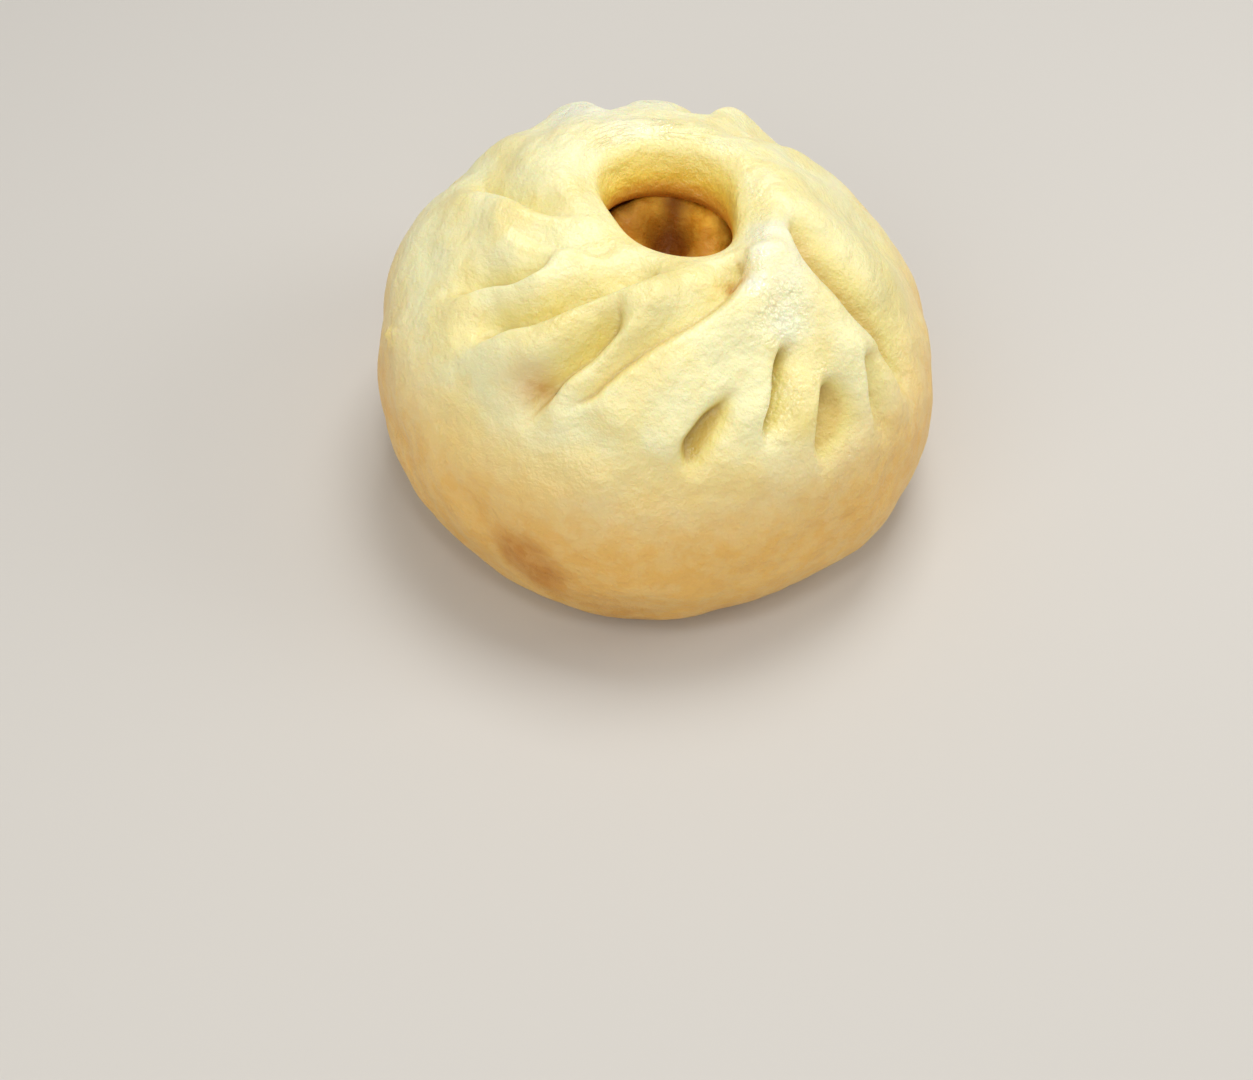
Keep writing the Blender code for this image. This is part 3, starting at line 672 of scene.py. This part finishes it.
def doughMaterial():
    look = doughLook
    material, tree, shader = newMaterial("steamedDough")
    broad = groupNode(tree, mottle, Cell=look["broadCell"], Detail=3.0, Low=0.38, High=0.62)
    small = groupNode(tree, mottle, Cell=look["smallCell"], Detail=4.0, Low=0.36, High=0.66)
    colour = mixColour(tree, broad, look["cream"], look["butter"])
    # painted sheen: the pale patches whiten the skin where a wet sheen would shine
    colour = mixColour(tree, mask(tree, "paleSheen"), colour, look["paleSheen"])
    # partly the dough's own deeper yellow, partly painted shade on surfaces that lie in shade
    colour = mixColour(tree, mask(tree, "yellowAndShade"), colour, look["yellowAndShade"])
    # partly browning, partly painted warm bounce light on the lower part
    tanAndBounce = maths(tree, 'MULTIPLY', mask(tree, "tanAndBounce"), between(tree, small, 0, 1, *look["tanAndBounceBlotch"]))
    colour = mixColour(tree, maths(tree, 'MULTIPLY', tanAndBounce, look["tanAndBounceShare"]), colour, look["tanAndBounce"])
    # painted shade: valleys, and deeper pits more so, are yellowed and darkened
    valley = mask(tree, "valley")
    for deep in ("valley", "pitShade"):
        share = between(tree, valley, *look[deep + "Span"], 0, look[deep + "Share"])
        colour = mixColour(tree, share, colour, look[deep])
    # painted shade: darker along each crease's foot
    dark = maths(tree, 'MULTIPLY', mask(tree, "crease"), look["creaseShadeShare"])
    colour = mixColour(tree, dark, colour, look["crease"])
    stain = maths(tree, 'MULTIPLY', mask(tree, "stain"), between(tree, small, 0, 1, *look["stainBlotch"]))
    colour = mixColour(tree, maths(tree, 'MULTIPLY', stain, look["stainShare"]), colour, look["stain"])
    # painted glow and painted shade inside the mouth: orange below the lip, brown deeper down
    sunk = mask(tree, "sunk")
    for shade, start, end in look["throat"]:
        colour = mixColour(tree, between(tree, sunk, start, end), colour, shade)
    dots = addNode(tree, "ShaderNodeTexVoronoi", feature='F1')
    plug(tree, addNode(tree, "ShaderNodeTexCoord").outputs["Object"], dots.inputs["Vector"])
    dots.inputs["Scale"].default_value = look["speckScale"]
    rare = between(tree, groupNode(tree, mottle, Cell=0.009, Detail=1.0, Low=0.60, High=0.66), 0.4, 0.6)
    speck = maths(tree, 'MULTIPLY', between(tree, dots.outputs["Distance"], *look["speckEdge"]), rare)
    colour = mixColour(tree, maths(tree, 'MULTIPLY', speck, look["speckShare"]), colour, look["speck"])
    plug(tree, colour, shader.inputs["Base Color"])

    beads = addNode(tree, "ShaderNodeTexVoronoi", feature='F1')
    plug(tree, addNode(tree, "ShaderNodeTexCoord").outputs["Object"], beads.inputs["Vector"])
    beads.inputs["Scale"].default_value = 1 / look["sparkleCell"]
    fromBead = beads.outputs["Distance"]
    fleck = cellNoise(tree, look["sparkleCell"], 1.0)
    sparkle = maths(tree, 'SUBTRACT', fleck, maths(tree, 'MULTIPLY', fromBead, fromBead))
    patchy = maths(tree, 'MULTIPLY', mask(tree, "wet"), between(tree, small, 0, 1, *look["wetBlotch"]))
    wet = between(tree, patchy, *look["wetSpan"])
    sheen = maths(tree, 'MAXIMUM', wet, between(tree, broad, 0, 1, 0.0, look["damp"]))
    plug(tree, between(tree, sheen, 0, 1, look["dry"], look["moist"]), shader.inputs["Roughness"])
    shader.inputs["Specular IOR Level"].default_value = look["gloss"]
    shader.inputs["Subsurface Weight"].default_value = look["scatter"]
    shader.inputs["Subsurface Radius"].default_value = look["scatterRadius"]
    shader.inputs["Subsurface Scale"].default_value = look["scatterScale"]

    flow = addNode(tree, "ShaderNodeAttribute", attribute_name="flow").outputs["Vector"]
    ring = maths(tree, 'ABSOLUTE', maths(tree, 'SUBTRACT', alongFlow(tree, flow, 0.22, 0.75, 3.0), 0.5))
    wrinkle = maths(tree, 'MULTIPLY', between(tree, ring, 0.0, 0.05, -1.0, 0.0), mask(tree, "wrinkled"))
    relief = groupNode(tree, moistGrain, Cell=look["grainCell"], Height=look["grainHeight"])
    for source, height in ((cellNoise(tree, look["dentCell"], 2.0), look["dentHeight"]),
                           (alongFlow(tree, flow, 1.0, 0.3, 3.0), look["stretchHeight"]),
                           (wrinkle, look["wrinkleHeight"]),
                           (maths(tree, 'MULTIPLY', sparkle, wet), look["sparkleHeight"]),
                           (cellNoise(tree, look["moistCell"], 1.0), look["moistHeight"])):
        relief = maths(tree, 'ADD', relief, maths(tree, 'MULTIPLY', source, height))
    bumpNode = addNode(tree, "ShaderNodeBump")
    bumpNode.inputs["Distance"].default_value = 1.0
    plug(tree, relief, bumpNode.inputs["Height"])
    plug(tree, bumpNode.outputs[0], shader.inputs["Normal"])
    return material


meatLook = {
    # the cleft colour is painted shade
    "light": (0.98, 0.55, 0.06), "dark": (0.80, 0.38, 0.03), "cleftShade": (0.22, 0.065, 0.004),
    "roughness": 0.6, "moist": 0.40, "gloss": 0.2,
    "scatter": 0.25, "scatterRadius": (1.0, 0.4, 0.12), "scatterScale": 0.002,
    "lumpCell": 0.0028, "grainCell": 0.0009, "grainHeight": 0.00022,
}


def meatMaterial():
    look = meatLook
    material, tree, shader = newMaterial("meatFilling")
    lumpy = groupNode(tree, mottle, Cell=look["lumpCell"], Detail=4.0, Low=0.36, High=0.62)
    colour = mixColour(tree, lumpy, look["light"], look["dark"])
    # painted shade: darker in the clefts and under the far wall
    colour = mixColour(tree, mask(tree, "cleftShade"), colour, look["cleftShade"])
    plug(tree, colour, shader.inputs["Base Color"])
    plug(tree, between(tree, lumpy, 0, 1, look["roughness"], look["moist"]), shader.inputs["Roughness"])
    shader.inputs["Specular IOR Level"].default_value = look["gloss"]
    shader.inputs["Subsurface Weight"].default_value = look["scatter"]
    shader.inputs["Subsurface Radius"].default_value = look["scatterRadius"]
    shader.inputs["Subsurface Scale"].default_value = look["scatterScale"]
    bumpNode = addNode(tree, "ShaderNodeBump")
    bumpNode.inputs["Distance"].default_value = 1.0
    relief = groupNode(tree, moistGrain, Cell=look["grainCell"], Height=look["grainHeight"])
    plug(tree, relief, bumpNode.inputs["Height"])
    plug(tree, bumpNode.outputs[0], shader.inputs["Normal"])
    return material


dough.data.materials.append(doughMaterial())
meat.data.materials.append(meatMaterial())

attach(dough, "root")
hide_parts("dough")
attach(meat, "root")
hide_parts("filling")
print("materials and rides done")


studio = {
    "floorSize": 3.0, "floorColour": (0.62, 0.60, 0.57), "floorRoughness": 0.8,
    "fill": 0.365, "fillColour": (1.0, 0.97, 0.93),
    # name, place, size, power, colour
    "lamps": [("windowKey", (0.06, 0.17, 0.59), 0.26, 1.78, (1.0, 0.99, 0.96)),
              ("roomFill", (-0.22, -0.44, 0.36), 0.50, 1.10, (1.0, 0.97, 0.92)),
              ("ceilingSpot", (0.0, -0.25, 0.60), 0.11, 0.42, (1.0, 1.0, 1.0)),
              ("sideGlow", (0.45, 0.02, 0.34), 0.24, 0.6, (1.0, 0.99, 0.97))],
}
shot = {
    "place": (-0.00372, -0.23071, 0.25406),
    "elevation": 50.726, "roll": 2.004, "lens": 55.30, "sensor": 36, "nearest": 0.01,
}


def makeStudio():
    bpy.ops.mesh.primitive_plane_add(size=studio["floorSize"])
    floor = bpy.context.object
    floor.name = "floor"
    material, tree, shader = newMaterial("paleFloor")
    shader.inputs["Base Color"].default_value = (*studio["floorColour"], 1)
    shader.inputs["Roughness"].default_value = studio["floorRoughness"]
    floor.data.materials.append(material)
    aim = Vector((0, 0, 0.5 * cadHigh.z))
    for name, place, size, power, colour in studio["lamps"]:
        light = bpy.data.lights.new(name, 'AREA')
        light.size = size
        light.energy = power
        light.color = colour
        lamp = bpy.data.objects.new(name, light)
        lamp.location = place
        lamp.rotation_mode = 'QUATERNION'
        lamp.rotation_quaternion = (Vector(place) - aim).to_track_quat('Z', 'Y')
        bpy.context.scene.collection.objects.link(lamp)
    world = bpy.data.worlds.new("studio")
    world.use_nodes = True
    background = world.node_tree.nodes["Background"]
    background.inputs["Color"].default_value = (*studio["fillColour"], 1)
    background.inputs["Strength"].default_value = studio["fill"]
    bpy.context.scene.world = world
    bpy.context.scene.view_settings.view_transform = 'Standard'


def makeCamera():
    tilt, roll = math.radians(shot["elevation"]), math.radians(shot["roll"])
    back = Vector((0, -math.cos(tilt), math.sin(tilt)))
    across = Vector((1, 0, 0))
    up = back.cross(across)
    right = math.cos(roll) * across + math.sin(roll) * up
    top = back.cross(right)
    camera = bpy.data.cameras.new("camera")
    camera.sensor_width = shot["sensor"]
    camera.lens = shot["lens"]
    camera.clip_start = shot["nearest"]
    holder = bpy.data.objects.new("camera", camera)
    holder.matrix_world = Matrix.Translation(shot["place"]) @ Matrix((right, top, back)).transposed().to_4x4()
    bpy.context.scene.collection.objects.link(holder)
    bpy.context.scene.camera = holder


makeStudio()
makeCamera()
print("studio done")
